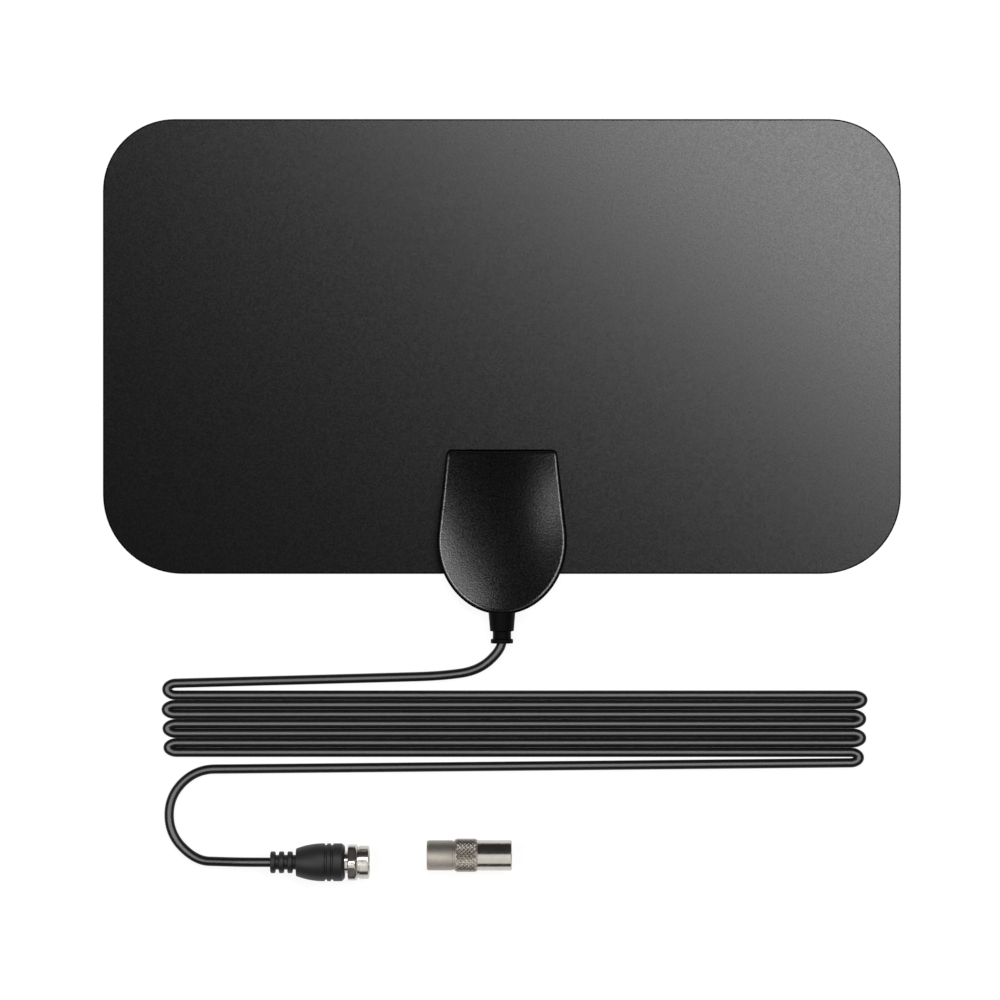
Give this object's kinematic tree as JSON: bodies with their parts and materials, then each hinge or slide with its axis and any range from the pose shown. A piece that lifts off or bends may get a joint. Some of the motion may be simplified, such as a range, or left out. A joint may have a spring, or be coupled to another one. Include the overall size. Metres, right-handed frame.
{
  "type": "indoor tv antenna",
  "caption": "Flat indoor TV antenna: thin rounded panel with a shield-shaped feed housing, strain relief, folded coax with a screw-on plug, and the adapter for a push-in plug.",
  "frame": {"origin": "middle of the panel's back face, on the surface that the antenna lies on", "axes": "+X along the panel's width, +Y away from the cable end, +Z out of the panel's front"},
  "size_m": [0.25, 0.2382, 0.012],
  "materials": {
    "panel_film": "satin charcoal-black film with a fine grain",
    "dipole_foil": "bare foil",
    "housing_plastic": "black moulded plastic with a fine spark-eroded texture",
    "circuit_board": "green solder mask",
    "eyelet_brass": "bare",
    "ferrite": "dull grey-black",
    "bare_copper": "bare copper",
    "boot_rubber": "matt black",
    "cable_jacket": "soft gloss black",
    "white_dielectric": "milky white",
    "grip_plastic": "dark grey-black, semi-matt",
    "nickel_plate": "satin nickel plate",
    "black_insulator": "matt black"
  },
  "bodies": {
    "antenna": {"rear_sheet": "panel_film", "front_sheet": "panel_film", "foil_left": "dipole_foil", "foil_right": "dipole_foil", "rear_cover": "housing_plastic", "front_cover": "housing_plastic", "feed_board": "circuit_board", "contact_eyelets": "eyelet_brass", "balun_core": "ferrite", "balun_winding": "bare_copper", "strain_relief": "boot_rubber", "coax_cable": "cable_jacket", "coax_braid": "bare_copper", "coax_dielectric": "white_dielectric", "coax_conductor": "bare_copper", "plug_grip": "grip_plastic", "plug_sleeve": "nickel_plate", "plug_dielectric": "white_dielectric", "plug_pin": "bare_copper", "adapter_body": "nickel_plate", "adapter_pin": "nickel_plate", "jack_insulator": "white_dielectric", "shell_insulator": "black_insulator"},
    "nut": {"coupling_nut": "nickel_plate"}
  },
  "joints": [
    {"name": "nut_spin", "type": "hinge", "parent": "antenna", "child": "nut", "pos_m": [-0.048, -0.1611, 0.006], "axis": [1, 0, 0], "continuous": true}
  ]
}
